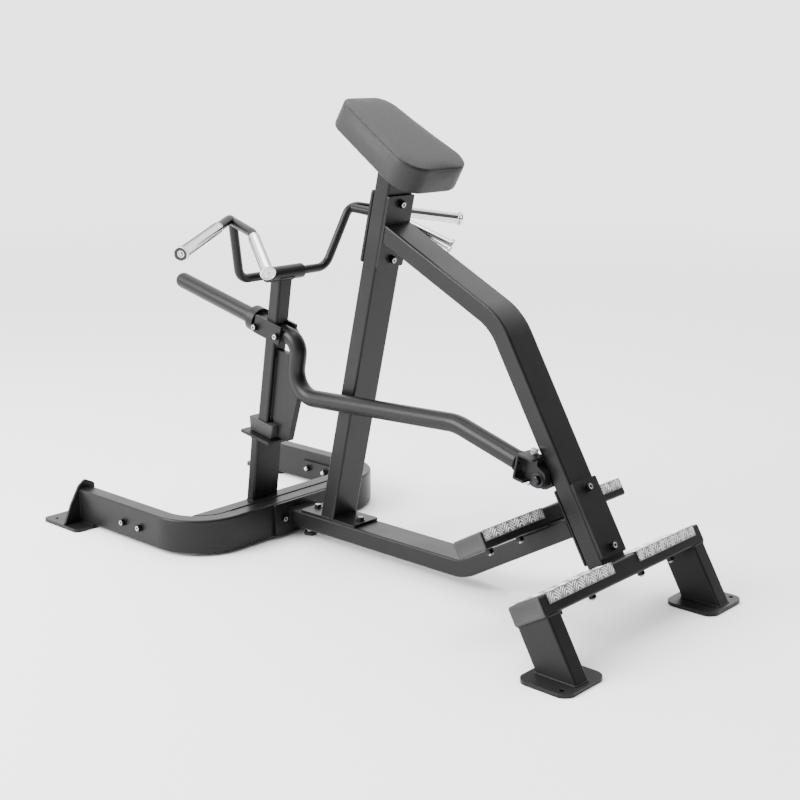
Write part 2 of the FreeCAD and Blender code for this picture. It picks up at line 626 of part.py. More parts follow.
def lever_brace(tube_envelope, bumper_envelope):
    """Box gusset filling the corner between the stem, the tube and the bumper."""
    outline = [(-300.0, 574.0), (-212.0, 562.0), (-214.0, 446.0), (-257.0, 306.0), (-300.0, 312.0),
               (-330.0, 388.0)]
    extrusion("lever_brace", "dims.brace", rounded(outline, [2, 2, 2, 8, 6, 2]),
              placement=side_on(at(0, LEVER + dim("brace") / 2, 0), FORWARD))
    stem_envelope = block("stem_envelope", (2 * dim("stem_wide"), dim("stem_deep") + 2 * GAP, 700.0),
                          facing(stem(0, 0, -400.0), STEM_UP))
    cut("lever_brace", [tube_envelope, stem_envelope, bumper_envelope])


def weight_horn():
    """Sleeve for weight plates with a domed end, and the collar that they rest against."""
    start, radius, length, root = 8.0, dim("horn") / 2, dim("horn_length"), 64.0
    bore, shoulder = radius - WALL, radius - 1
    eighth = math.sin(math.pi / 4)
    straight = [(bore, 0), (shoulder, 0), (shoulder, root), (radius, root), (radius, length)]
    outline = [Part.LineSegment(Vector(*a, 0), Vector(*b, 0)) for a, b in zip(straight, straight[1:])]
    outline += [Part.Arc(Vector(radius, length, 0), Vector(radius * eighth, length + radius * eighth, 0),
                         Vector(0, length + radius, 0)),
                Part.LineSegment(Vector(0, length + radius, 0), Vector(0, length + bore, 0)),
                Part.Arc(Vector(0, length + bore, 0), Vector(bore * eighth, length + bore * eighth, 0),
                         Vector(bore, length, 0)),
                Part.LineSegment(Vector(bore, length, 0), Vector(bore, 0, 0))]
    body = doc.addObject("PartDesign::Body", "weight_horn")
    turned = body.newObject("PartDesign::Revolution", "weight_horn_turned")
    turned.Profile = sketch(body, "weight_horn_sketch", "XY_Plane", outline)
    turned.ReferenceAxis = (turned.Profile[0], ["V_Axis"])
    turned.Angle = 360.0
    register(body, "weight_horn", Placement(horn(start, 0, 0),
                                            Rotation(ACROSS.cross(HORN), HORN, ACROSS.negative(), "ZYX")))
    drill("weight_horn", [SIDE_BOLTS[0]], ACROSS)
    collar_end = start + root
    extrusion("horn_collar", "dims.collar_thick", circle(dim("collar")), circle(2 * (shoulder + GAP)),
              placement=facing(horn(collar_end - GAP - dim("collar_thick"), 0, 0), HORN))


# ---------------------------------------------------------------- handlebar
CORNER, ELBOW, OUTER_END = (-272.0, 165.0, 798.0), (-228.0, 224.0, 975.0), (-70.0, 525.0, 923.0)
INNER_START, INNER_END = (-102.0, 267.0, 948.0), (46.0, 350.0, 870.0)


def mirrored(point, sign):
    """A place on the handlebar, whose own middle is the lever's plane."""
    return at(point[0], LEVER + sign * point[1], point[2])


def round_bar(points, radii, diameter):
    """Shape of a round bar along a route through space."""
    edges = [segment.toShape() for segment in route(points, radii)]
    heading = (points[1] - points[0]).normalize()
    ring = Part.Wire([Part.Circle(points[0], heading, diameter / 2).toShape()])
    return Part.Wire(edges).makePipeShell([ring], True, False)


def bend_middle(before, here, after, radius):
    """Where a bend of that radius at a corner of a route passes closest to the corner."""
    back, on = (before - here).normalize(), (after - here).normalize()
    return here + (back + on).normalize() * (radius / math.sin(back.getAngle(on) / 2) - radius)


def handlebar():
    """One bent bar with a branch welded into each elbow, four grips and their end caps."""
    bar, elbow_bend = dim("bar_tube"), 34.0
    ends = [mirrored(point, -1) for point in (OUTER_END, ELBOW, CORNER)]
    ends += [mirrored(point, 1) for point in (CORNER, ELBOW, OUTER_END)]
    shape = round_bar(ends, [elbow_bend, 42.0, 42.0, elbow_bend], bar)
    caps, screws = [], []
    for side, sign in SIDES.items():
        elbow, turn, inner_end = (mirrored(point, sign) for point in (ELBOW, INNER_START, INNER_END))
        outer_end = mirrored(OUTER_END, sign)
        branch = bend_middle(outer_end, elbow, mirrored(CORNER, sign), elbow_bend)
        shape = shape.fuse(round_bar([branch, turn, inner_end], [24.0], bar))
        for which, root, end, bare in (("outer", elbow, outer_end, 0.30), ("inner", turn, inner_end, 0.12)):
            axis = end - root
            length = axis.Length * (1 - bare)
            axis = axis.normalize()
            across = axis.cross(UP).normalize()
            name = "%s_grip_%s" % (which, side)
            extrusion(name, length, circle(dim("grip")), circle(bar + 2 * GAP),
                      placement=facing(end - axis * length, axis, across))
            caps.append(extrusion(name + "_cap", 7.0, circle(dim("grip_cap")),
                                  placement=facing(end + axis * GAP, axis, across)))
    whole = doc.addObject("Part::Feature", "handlebar")
    whole.Shape = shape.removeSplitter()
    register(whole, "handlebar")
    together("grip_end_caps", caps)
    half_sleeve = dim("cross_sleeve_length") / 2
    extrusion("handle_sleeve", "dims.cross_sleeve_length", circle(dim("cross_sleeve")), circle(bar + 2 * GAP),
              placement=facing(at(CROSS_SLEEVE[0], LEVER - half_sleeve, CROSS_SLEEVE[1]), ACROSS))


# ---------------------------------------------------------------- hinge
BLOCK_Y = 1.0


def in_channel(x, z):
    """Coordinates of a side-view point in the channel's own tilted axes."""
    offset = Vector(x - CHANNEL_HEEL.x, 0, z - CHANNEL_HEEL.z)
    return offset.dot(CHANNEL), offset.dot(CHANNEL_UP)


def hinge_channel():
    """Folded channel on the tube's end, bolted upright through the pivot block that it holds."""
    skin, width = dim("channel_sheet"), dim("channel_wide")
    low, high, lower_tip, upper_tip = -40.0, 30.0, 34.5, 50.0
    outline = [(GAP, low), (lower_tip, low), (lower_tip, low + skin), (skin, low + skin), (skin, high - skin),
               (upper_tip, high - skin), (upper_tip, high), (GAP, high)]
    extrusion("lever_channel", "dims.channel_wide", rounded(outline, [5, 1, 1, 3, 3, 1, 1, 5]),
              placement=side_on(channel(0, width / 2, 0), CHANNEL))
    bolt_y = 14.0
    bolt_at = channel(24.5, bolt_y, high)
    drill("lever_channel", [bolt_at], CHANNEL_UP, depth=300.0)
    web_hole = cylinder("web_hole", 9.0, 30.0, facing(channel(-10.0, -14.0, 4.0), CHANNEL))
    cut("lever_channel", [web_hole])
    pivot_along, pivot_above = in_channel(*PIVOT)
    eye, thick = dim("pivot_eye"), dim("block_wide")
    right, bottom = pivot_along + eye, pivot_above - eye
    cheek = [(14.0, low + skin + GAP), (35.0, low + skin + GAP), (36.0, bottom), (right, bottom),
             (right, pivot_above + eye), (48.0, 8.0), (48.0, high - skin - GAP), (14.0, high - skin - GAP)]
    extrusion("pivot_block", "dims.block_wide", rounded(cheek, [1, 0.4, 12, eye - 0.1, 14, 8, 1, 1]),
              placement=side_on(channel(0, BLOCK_Y + thick, 0), CHANNEL))
    drill("pivot_block", [bolt_at], CHANNEL_UP, depth=300.0)
    drill("pivot_block", [at(PIVOT[0], LEVER, PIVOT[1])], ACROSS, dim("bush") + 0.02)
    together("channel_bolt", through_bolts("channel_bolt_whole", [bolt_at], CHANNEL_UP.negative(), high - low,
                                           washer=20.0))


def hinge_pin():
    """Shaft through the spine's two lugs, with the pivot block's bush running on its overhung end."""
    thick, size = dim("block_wide"), 22.0
    inner = LEVER + BLOCK_Y
    bush = extrusion("pivot_bush", thick, circle(dim("bush")),
                     circle(dim("pivot_shaft") + 2 * dim("running_gap")),
                     placement=facing(at(PIVOT[0], inner, PIVOT[1]), ACROSS))
    washer_y, lug_y = inner - 0.3, WIDE / 2
    pieces = [cylinder("pivot_rod", "dims.pivot_shaft", lug_y - washer_y + 24.0,
                       facing(at(PIVOT[0], washer_y - 9.0, PIVOT[1]), ACROSS)),
              cylinder("pivot_washer", 40.0, 2.5, facing(at(PIVOT[0], washer_y - 2.5, PIVOT[1]), ACROSS)),
              hexagon("pivot_head", facing(at(PIVOT[0], washer_y - 11.5, PIVOT[1]), ACROSS), size, 9.0),
              cylinder("pivot_far_washer", 30.0, 2.5, facing(at(PIVOT[0], lug_y + GAP, PIVOT[1]), ACROSS)),
              hexagon("pivot_nut", facing(at(PIVOT[0], lug_y + GAP + 2.5, PIVOT[1]), ACROSS), size, 10.0)]
    register(fused("pivot_bolt", pieces), "pivot_bolt")
    spacer_from, spacer_to = inner + thick + 0.3, -WIDE / 2 - GAP
    extrusion("pivot_spacer", spacer_to - spacer_from, circle(32.0), circle(dim("pivot_shaft") + 2 * GAP),
              placement=facing(at(PIVOT[0], spacer_from, PIVOT[1]), ACROSS))
    return bush


def hinge_lugs():
    """Rounded tongues on the underside of the spine, flush with its two sides."""
    point = Vector(PIVOT[0], 0, PIVOT[1])
    run, height, reach = point.dot(ALONG), point.dot(RISE), dim("lug")
    face = dim("spine_face") - GAP
    tongue = [(run - reach, height - reach), (face, height - reach), (face, height + reach + 12.0),
              (run - reach, height + reach)]
    lying = Rotation(ALONG, RISE, ALONG.cross(RISE), "ZXY")
    bore = circle(dim("pivot_shaft") + 2 * GAP, (run, height))
    together("hinge_lugs", [extrusion("hinge_lug_" + side, "dims.plate",
                                      rounded(tongue, [reach - 2, 0, 0, 24]), bore,
                                      placement=Placement(at(0, face_y, 0), lying))
                            for side, face_y in (("left", PLATE - WIDE / 2), ("right", WIDE / 2))])


stop_post()
tube_room = lever_tube()
lever_stem()
bumper_room = bumper()
lever_brace(tube_room, bumper_room)
weight_horn()
handlebar()
hinge_channel()
hinge_pin()
hinge_lugs()
doc.recompute()


# ---------------------------------------------------------------- checks and export
def check_document():
    for obj in doc.Objects:
        if "Invalid" in obj.State or "Error" in obj.State:
            raise RuntimeError("%s (%s) failed" % (obj.Name, obj.Label))
    for name, node in NODES.items():
        if node.Shape.isNull() or not node.Shape.isValid() or not node.Shape.Solids:
            raise RuntimeError("bad shape: " + name)


def export_nodes():
    os.makedirs("parts", exist_ok=True)
    overall = FreeCAD.BoundBox()
    for name, node in NODES.items():
        node.Shape.exportStep(os.path.join("parts", name + ".step"))
        overall.add(node.Shape.optimalBoundingBox(False))
        print("%-26s solids %d volume %9.0f" % (name, len(node.Shape.Solids), node.Shape.Volume))
    print(len(NODES), "nodes, overall box", overall)


check_document()
export_nodes()
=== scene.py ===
import json
import math
import random
from collections import namedtuple
import bmesh
import bpy
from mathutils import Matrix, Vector
from mathutils.bvhtree import BVHTree


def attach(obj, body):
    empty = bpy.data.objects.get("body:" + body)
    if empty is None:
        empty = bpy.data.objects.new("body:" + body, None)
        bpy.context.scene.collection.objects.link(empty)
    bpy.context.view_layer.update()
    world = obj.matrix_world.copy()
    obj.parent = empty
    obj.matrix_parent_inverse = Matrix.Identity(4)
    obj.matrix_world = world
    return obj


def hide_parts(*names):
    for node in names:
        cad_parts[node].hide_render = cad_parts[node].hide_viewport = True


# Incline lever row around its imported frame. Metres, +Z up, the frame's own axes.

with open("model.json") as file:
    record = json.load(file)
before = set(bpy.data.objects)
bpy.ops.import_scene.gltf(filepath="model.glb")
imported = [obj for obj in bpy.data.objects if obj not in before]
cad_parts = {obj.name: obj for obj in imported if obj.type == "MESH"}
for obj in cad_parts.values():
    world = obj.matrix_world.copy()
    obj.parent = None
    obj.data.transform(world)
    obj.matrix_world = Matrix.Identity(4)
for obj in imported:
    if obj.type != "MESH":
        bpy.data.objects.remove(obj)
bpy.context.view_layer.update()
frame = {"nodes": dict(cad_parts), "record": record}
NODES = frame["nodes"]
rng = random.Random(7)

BLACK = (0.0050, 0.0050, 0.0053, 1.0)
MM, PER_METRE = 0.001, 1000.0


# ------------------------------------------------------------------------------------ materials
def new_material(name):
    """Material with its shader and a small helper to add linked nodes."""
    material = bpy.data.materials.new(name)
    material.use_nodes = True
    tree = material.node_tree
    shader = tree.nodes["Principled BSDF"]

    def add(kind, inputs=None, **settings):
        node = tree.nodes.new(kind)
        for key, value in settings.items():
            setattr(node, key, value)
        for key, value in (inputs or {}).items():
            if isinstance(value, bpy.types.NodeSocket):
                tree.links.new(value, node.inputs[key])
            else:
                node.inputs[key].default_value = value
        return node
    return material, shader, add, tree.links.new


def noise(add, where, scale, detail=4.0, roughness=0.55):
    return add("ShaderNodeTexNoise", {"Vector": where, "Scale": scale, "Detail": detail,
                                      "Roughness": roughness})


def ramp(add, value, low, high, to_low=0.0, to_high=1.0):
    return add("ShaderNodeMapRange", {"Value": value, "From Min": low, "From Max": high, "To Min": to_low,
                                      "To Max": to_high}).outputs["Result"]


def blend_colour(add, factor, first, second):
    mix = add("ShaderNodeMix", data_type="RGBA")
    for name, value in (("Factor_Float", factor), ("A_Color", first), ("B_Color", second)):
        socket = next(s for s in mix.inputs if s.identifier == name)
        if isinstance(value, bpy.types.NodeSocket):
            mix.id_data.links.new(value, socket)
        else:
            socket.default_value = value
    return next(s for s in mix.outputs if s.identifier == "Result_Color")


def bump(add, height, strength, distance, under=None):
    inputs = {"Height": height, "Strength": strength, "Distance": distance}
    if under is not None:
        inputs["Normal"] = under
    return add("ShaderNodeBump", inputs).outputs["Normal"]


def object_space(add):
    return add("ShaderNodeTexCoord").outputs["Object"]


def powder_coat(name, edge=0.0016):
    """Fine-grained satin powder coat: orange peel, a trace of dust and softly rounded edges."""
    material, shader, add, link = new_material(name)
    where = object_space(add)
    peel = noise(add, where, 950.0, 2.0).outputs["Fac"]
    grain = noise(add, where, 3200.0, 1.0).outputs["Fac"]
    cloud = noise(add, where, 9.0, 5.0, 0.6).outputs["Fac"]
    rounded = add("ShaderNodeBevel", {"Radius": edge}, samples=4).outputs["Normal"]
    surface = bump(add, grain, 0.12, 0.00008, bump(add, peel, 0.10, 0.0002, rounded))
    link(surface, shader.inputs["Normal"])
    colour = blend_colour(add, ramp(add, cloud, 0.35, 0.7), BLACK, (0.0066, 0.0066, 0.0069, 1.0))
    link(blend_colour(add, ramp(add, grain, 0.62, 0.75, 0.0, 0.3), colour, (0.014, 0.014, 0.0145, 1.0)),
         shader.inputs["Base Color"])
    link(ramp(add, cloud, 0.3, 0.75, 0.34, 0.42), shader.inputs["Roughness"])
    shader.inputs["Specular IOR Level"].default_value = 0.2
    return material


def chrome(name, handled):
    """Bright chrome, a little hazier where hands rub it."""
    material, shader, add, link = new_material(name)
    where = object_space(add)
    shader.inputs["Metallic"].default_value = 1.0
    shader.inputs["Specular Tint"].default_value = (0.08, 0.08, 0.085, 1.0)
    smear = noise(add, where, 60.0, 4.0).outputs["Fac"]
    link(blend_colour(add, ramp(add, smear, 0.3, 0.7), (0.66, 0.66, 0.67, 1.0), (0.76, 0.76, 0.765, 1.0)),
         shader.inputs["Base Color"])
    haze = 0.05 if handled else 0.0
    link(ramp(add, smear, 0.3, 0.8, 0.05 + haze, 0.11 + haze), shader.inputs["Roughness"])
    normal = bump(add, noise(add, where, 1500.0, 1.0).outputs["Fac"], 0.05, 0.0001)
    link(normal, shader.inputs["Normal"])
    return material


def steel(name, colour, rough, metallic=1.0):
    """Turned or forged steel with faint machining marks and handling marks."""
    material, shader, add, link = new_material(name)
    where = object_space(add)
    marks = noise(add, where, 700.0, 3.0).outputs["Fac"]
    patch = noise(add, where, 120.0, 4.0).outputs["Fac"]
    dark = tuple(0.7 * c for c in colour) + (1.0,)
    link(blend_colour(add, ramp(add, patch, 0.35, 0.7), dark, tuple(colour) + (1.0,)),
         shader.inputs["Base Color"])
    link(ramp(add, patch, 0.3, 0.75, rough, rough + 0.15), shader.inputs["Roughness"])
    rounded = add("ShaderNodeBevel", {"Radius": 0.0006}, samples=4).outputs["Normal"]
    link(bump(add, marks, 0.15, 0.0001, rounded), shader.inputs["Normal"])
    shader.inputs["Metallic"].default_value = metallic
    return material


def rubber(name, colour=0.012, rough=0.62):
    """Moulded rubber or plastic with a fine speck and a slight bloom."""
    material, shader, add, link = new_material(name)
    where = object_space(add)
    speck = noise(add, where, 1400.0, 2.0).outputs["Fac"]
    bloom = noise(add, where, 35.0, 5.0, 0.65).outputs["Fac"]
    link(blend_colour(add, ramp(add, bloom, 0.35, 0.75), (colour, colour, colour, 1.0),
                      (colour * 1.7, colour * 1.7, colour * 1.75, 1.0)), shader.inputs["Base Color"])
    link(ramp(add, bloom, 0.3, 0.8, rough, rough + 0.14), shader.inputs["Roughness"])
    rounded = add("ShaderNodeBevel", {"Radius": 0.0015}, samples=4).outputs["Normal"]
    link(bump(add, speck, 0.25, 0.0002, rounded), shader.inputs["Normal"])
    return material


def vinyl(name):
    """Upholstery vinyl: pebbled leather grain with fine creases."""
    material, shader, add, link = new_material(name)
    where = object_space(add)
    warp = noise(add, where, 90.0, 3.0)
    pebble = add("ShaderNodeTexVoronoi", {"Vector": where, "Scale": 620.0, "Randomness": 0.9},
                 feature="SMOOTH_F1")
    crease = noise(add, where, 260.0, 6.0, 0.6).outputs["Fac"]
    tone = blend_colour(add, ramp(add, warp.outputs["Fac"], 0.35, 0.7), (0.0105, 0.0105, 0.0108, 1.0),
                        (0.0135, 0.0135, 0.0138, 1.0))
    pits = ramp(add, pebble.outputs["Distance"], 0.15, 0.55)
    link(blend_colour(add, pits, tone, (0.0075, 0.0075, 0.0077, 1.0)), shader.inputs["Base Color"])
    link(ramp(add, crease, 0.3, 0.75, 0.46, 0.60), shader.inputs["Roughness"])
    link(bump(add, crease, 0.12, 0.0005, bump(add, pebble.outputs["Distance"], 0.35, 0.0004)),
         shader.inputs["Normal"])
    shader.inputs["Specular IOR Level"].default_value = 0.3
    return material


def aluminium(name, bright):
    """Rolled aluminium sheet: soft brushed streaks and scuffed patches."""
    material, shader, add, link = new_material(name)
    where = object_space(add)
    stretched = add("ShaderNodeMapping", {"Vector": where, "Scale": (30.0, 900.0, 30.0)}).outputs["Vector"]
    streak = noise(add, stretched, 1.0, 3.0).outputs["Fac"]
    scuff = noise(add, where, 75.0, 5.0, 0.6).outputs["Fac"]
    shader.inputs["Metallic"].default_value = 0.92
    link(blend_colour(add, ramp(add, scuff, 0.35, 0.7), (0.72 * bright, 0.72 * bright, 0.73 * bright, 1.0),
                      (bright, bright, 1.01 * bright, 1.0)),
         shader.inputs["Base Color"])
    link(ramp(add, scuff, 0.3, 0.75, 0.36, 0.52), shader.inputs["Roughness"])
    link(bump(add, streak, 0.08, 0.0002), shader.inputs["Normal"])
    return material


def plywood(name):
    """Dark laminated board with its plies showing."""
    material, shader, add, link = new_material(name)
    where = object_space(add)
    ply = add("ShaderNodeTexWave", {"Vector": where, "Scale": 60.0, "Distortion": 2.0, "Detail": 3.0},
              bands_direction="Z").outputs["Fac"]
    link(blend_colour(add, ply, (0.012, 0.012, 0.012, 1.0), (0.028, 0.026, 0.024, 1.0)),
         shader.inputs["Base Color"])
    shader.inputs["Roughness"].default_value = 0.6
    link(bump(add, noise(add, where, 500.0).outputs["Fac"], 0.2, 0.0003), shader.inputs["Normal"])
    return material


COAT = powder_coat("satin_powder_coat")
WELD = powder_coat("coated_weld", 0.0004)
RUBBER = rubber("bumper_rubber")
PLASTIC = rubber("cap_plastic", 0.009, 0.5)
VINYL = vinyl("pad_vinyl")
THREAD = rubber("seam_thread", 0.02, 0.7)
PLY = plywood("laminated_board")
TREAD = aluminium("embossed_aluminium", 0.34)
BOLT = steel("black_oxide_steel", (0.035, 0.035, 0.037), 0.26)
BRIGHT = steel("zinc_steel", (0.62, 0.62, 0.63), 0.26)
BRONZE = steel("bronze", (0.55, 0.38, 0.2), 0.3)
GRIP = chrome("handled_chrome", True)
POLISHED = chrome("polished_chrome", False)
# Dark steel for the recessed faces of the outer grip caps only: painted shade in the recess; the inner caps'
# faces keep the bright steel.
SHADED_CAP_FACE = steel("cap_recess_painted_shade", (0.05, 0.05, 0.052), 0.35)
# The ribs take a much brighter copy of the sheet's aluminium: painted highlight on the raised ribs, the sheet
# keeping the darker copy.
RIB = aluminium("rib_painted_highlight_aluminium", 0.86)
SLOT_MATERIALS = {
    "black_powder_coat": COAT, "chrome_grip": GRIP, "end_cap_chrome": POLISHED, "zinc_bolt": BRIGHT,
    "black_bolt": BOLT, "tread_aluminium": TREAD, "pad_vinyl": VINYL, "pad_board": PLY,
    "bumper_rubber": RUBBER, "foot_rubber": RUBBER, "cap_plastic": PLASTIC, "bush_bronze": BRONZE,
}
SLOT_OF = {row["node"]: row["material_slot"] for row in frame["record"]["subparts"]}
for node_name, node_object in NODES.items():
    node_object.data.materials.clear()
    node_object.data.materials.append(SLOT_MATERIALS[SLOT_OF[node_name]])


# ------------------------------------------------------------------------------------ places
# Millimetres here, as on the drawing. Heights above the floor; y from the frame's mid-plane.
MID_PLANE = 0.0745


def direction(angle):
    return Vector((math.cos(math.radians(angle)), 0.0, math.sin(math.radians(angle))))


def at(x, y, z):
    return Vector((x, y + PER_METRE * MID_PLANE, z))


def tilted(x, y, z, along, above):
    """Function giving places in tilted axes set up at an origin."""
    def spot(a, b, c):
        return at(x, y + b, z) + along * a + above * c
    return spot


ACROSS, UP, FORWARD = Vector((0, 1, 0)), Vector((0, 0, 1)), Vector((1, 0, 0))
ALONG, RISE = direction(30.0), direction(120.0)
POST_OUT, POST_UP = direction(-13.0), direction(77.0)
PAD_DOWN, PAD_UP = direction(-31.0), direction(59.0)
STEM_OUT, STEM_UP = direction(-9.3), direction(80.7)
HORN, HORN_UP = direction(166.7), direction(76.7)
CHANNEL, CHANNEL_UP = direction(-11.0), direction(79.0)
LEVER = -78.0
rear = tilted(0, 0, 0, ALONG, RISE)
post = tilted(-162.7, 0, 0, POST_OUT, POST_UP)
pad = tilted(112, 0, 1200, PAD_DOWN, PAD_UP)
stem = tilted(-305, LEVER, 640, STEM_OUT, STEM_UP)
horn = tilted(-330, LEVER, 637, HORN, HORN_UP)
channel = tilted(580, LEVER, 408.5, CHANNEL, CHANNEL_UP)

# Tube sections with the seat of a weld round them, and the radii of the round bars.
THIN, WIDE = 50.4, 100.4
TUBE_RADIUS, BAR_RADIUS = 25.3, 21.3
ARM_Y, LEG_Y, CLAMP_REACH = 383.0, 318.0, 77.5
BAR_X, BAR_Z = -272.0, 798.0
FootBar = namedtuple("FootBar", "level middle top depth half_length tread_span bolts_at")
FOOT_BARS = (FootBar("lower", 778.0, -248.0, 50.0, 345.0, 266.0, (107.0, 245.0)),
             FootBar("upper", 640.0, -62.0, 45.0, 293.0, 236.0, (115.0, 235.0)))
TREAD_START, TREAD_SKIN, TREAD_LIP = 54.0, 2.0, 26.0


def hinge_at(y):
    return at(631, y, 371)


def bar_at(y):
    return at(BAR_X, LEVER + y, BAR_Z)


# ------------------------------------------------------------------------------------ building pieces
class Piece:
    """A surface put together ring by ring, in millimetres."""

    def __init__(self, *materials):
        self.mesh, self.materials = bmesh.new(), materials

    def skin(self, rings, tone=0, closed=False, capped=True):
        loops = [[self.mesh.verts.new(point) for point in ring] for ring in rings]
        following = loops[1:] + loops[:1] if closed else loops[1:]
        for one, two in zip(loops, following):
            for i, vert in enumerate(one):
                j = (i + 1) % len(one)
                self.mesh.faces.new((vert, one[j], two[j], two[i])).material_index = tone
        if capped and not closed:
            self.mesh.faces.new(loops[0][::-1]).material_index = tone
            self.mesh.faces.new(loops[-1]).material_index = tone

    def turned(self, origin, axis, outline, tone=0, steps=32, side=None):
        """Surface of revolution; a radius or a height may be a function of the angle."""
        axis = axis.normalized()
        side = (side or axis.orthogonal()).normalized()
        other = axis.cross(side)
        rings = []
        for radius, along in outline:
            ring = []
            for i in range(steps):
                turn = 2 * math.pi * i / steps
                r = radius(turn) if callable(radius) else radius
                z = along(turn) if callable(along) else along
                ring.append(origin + side * (r * math.cos(turn)) + other * (r * math.sin(turn)) + axis * z)
            rings.append(ring)
        self.skin(rings, tone)

    def bead(self, points, normal, closed=True, radius=2.2, tone=0):
        """Weld bead along a line: overlapping ripples with a little unevenness."""
        line = spaced(points, 1.5, closed)
        rings, count = [], len(line)
        for i, point in enumerate(line):
            before = line[i - 1] if closed or i else point
            after = line[(i + 1) % count] if closed or i < count - 1 else point
            heading = (after - before).normalized()
            outward = heading.cross(normal).normalized()
            above = outward.cross(heading)
            r = radius * (0.82 + 0.18 * abs(math.sin(i * 1.5 * math.pi / 4.5)) + rng.uniform(-0.03, 0.03))
            if not closed:
                r *= min(1.0, 0.25 + 0.35 * min(i, count - 1 - i))
            rings.append([point + outward * (r * math.cos(a)) + above * (r * math.sin(a))
                          for a in (k * math.pi / 4 for k in range(8))])
        self.skin(rings, tone, closed=closed)

    def made(self, name, body, slot, *nodes, sharp=38.0):
        """Finish the surface in metres as an object, tie it to its body and hide the nodes that it replaces.
        """
        bmesh.ops.scale(self.mesh, vec=(MM, MM, MM), verts=self.mesh.verts)
        bmesh.ops.recalc_face_normals(self.mesh, faces=self.mesh.faces)
        data = bpy.data.meshes.new(name)
        self.mesh.to_mesh(data)
        self.mesh.free()
        for material in self.materials:
            data.materials.append(material)
        data.polygons.foreach_set("use_smooth", [True] * len(data.polygons))
        data.set_sharp_from_angle(angle=math.radians(sharp))
        piece = bpy.data.objects.new(name, data)
        bpy.context.scene.collection.objects.link(piece)
        return fitted(piece, body, slot, *nodes)


def fitted(piece, body, slot, *nodes):
    """Tie a piece to its body and hide the nodes that it replaces; its material slot is not used."""
    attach(piece, body)
    if nodes:
        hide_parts(*nodes)
    return piece


def spaced(points, step, closed):
    """The same line with evenly spaced points."""
    ends = list(points) + ([points[0]] if closed else [])
    lengths = [(b - a).length for a, b in zip(ends, ends[1:])]
    total = sum(lengths)
    count = max(3, round(total / step))
    line, piece, passed = [], 0, 0.0
    for i in range(count if closed else count + 1):
        target = total * i / count
        while piece < len(lengths) - 1 and passed + lengths[piece] < target:
            passed += lengths[piece]
            piece += 1
        share = (target - passed) / lengths[piece] if lengths[piece] else 0.0
        line.append(ends[piece].lerp(ends[piece + 1], min(1.0, share)))
    return line


def box_loop(middle, u, v, width, height, corner=6.0):
    """Points round a rounded rectangle, width along u and height along v."""
    points = []
    for su, sv, start in ((1, 1, 0), (-1, 1, 90), (-1, -1, 180), (1, -1, 270)):
        centre = middle + u * (su * (width / 2 - corner)) + v * (sv * (height / 2 - corner))
        for k in range(5):
            turn = math.radians(start + 22.5 * k)
            points.append(centre + u * (corner * math.cos(turn)) + v * (corner * math.sin(turn)))
    return points


def round_loop(middle, axis, radius, steps=48):
    side = axis.orthogonal().normalized()
    other = axis.normalized().cross(side)
    return [middle + side * (radius * math.cos(2 * math.pi * i / steps))
            + other * (radius * math.sin(2 * math.pi * i / steps)) for i in range(steps)]


# ------------------------------------------------------------------------------------ fasteners
HEX_STEPS = 48


def hexagonal(size):
    """Radius of a hexagon at an angle round it."""
    return lambda turn: size / 2 / math.cos((turn + math.pi / 6) % (math.pi / 3) - math.pi / 6)


def chamfered(size, height, rise):
    """Height of a hexagon's chamfered face at an angle round it."""
    outline = hexagonal(size)
    return lambda turn: height - rise * 0.6 * (outline(turn) - 0.96 * size / 2)


def washer(piece, place, axis, radius, bore, thick=2.0, tone=0):
    piece.turned(place, axis, [(bore, 0.0), (radius - 0.4, 0.0), (radius, 0.4), (radius, thick - 0.4),
                               (radius - 0.4, thick), (bore, thick)], tone, 40)


def bolt_head(piece, place, axis, size, height, tone=0, ring=1):
    """Hexagon head with a chamfer, a bright machined ring on its face and a socket within it."""
    outline, socket = hexagonal(size), hexagonal(0.42 * size)
    piece.turned(place, axis, [(0.47 * size, 0.0), (0.47 * size, 0.5), (outline, 0.6),
                               (outline, chamfered(size, height, 1)), (0.46 * size, height),
                               (0.41 * size, height), (0.40 * size, height - 0.5), (0.1, height - 0.5)],
                 tone, HEX_STEPS)
    piece.turned(place, axis, [(0.37 * size, height - 1.0), (0.37 * size, height - 0.1),
                               (0.35 * size, height + 0.1), (0.28 * size, height + 0.1),
                               (socket, height - 0.4), (socket, height - 1.0)], ring, HEX_STEPS)
    piece.turned(place, axis, [(socket, height - 1.1), (socket, height - 0.45), (0.1, height - 0.45)],
                 tone, HEX_STEPS)


def nut(piece, place, axis, size, height, thread, tail, tone=0, end_tone=1):
    """Nut chamfered on both sides, with the bolt's threaded end standing out of it."""
    outline = hexagonal(size)
    piece.turned(place, axis, [(0.44 * size, 0.0), (outline, chamfered(size, 0.0, -1)),
                               (outline, chamfered(size, height, 1)), (0.46 * size, height),
                               (thread / 2 + 1.0, height), (thread / 2, height - 0.9),
                               (0.1, height - 0.9)], tone, HEX_STEPS)
    turns, z = [(0.1, height - 2.0), (thread / 2 - 0.6, height - 2.0)], height - 2.0
    while z < height + tail - 1.6:
        turns += [(thread / 2, z + 0.45), (thread / 2, z + 0.7), (thread / 2 - 0.55, z + 1.2)]
        z += 1.25
    turns += [(thread / 2 - 1.0, height + tail), (0.1, height + tail)]
    piece.turned(place, axis, turns, end_tone, 32)


def through_bolt(piece, place, axis, grip, size=19.0, thread=12.0, ring=13.0, tall=10.0, tail=4.0):
    """Hexagon bolt through a grip, with a washer at each end and its nut."""
    axis = axis.normalized()
    washer(piece, place - axis * 2.0, axis, ring, 0.3 * thread)
    bolt_head(piece, place - axis * 2.0, -axis, size, tall)
    piece.turned(place - axis * 3.0, axis, [(thread / 2 - 0.05, 0.0), (thread / 2 - 0.05, grip + 6.0)], 1, 24)
    washer(piece, place + axis * grip, axis, ring, 0.3 * thread)
    nut(piece, place + axis * (grip + 2.0), axis, size, tall, thread, tail)


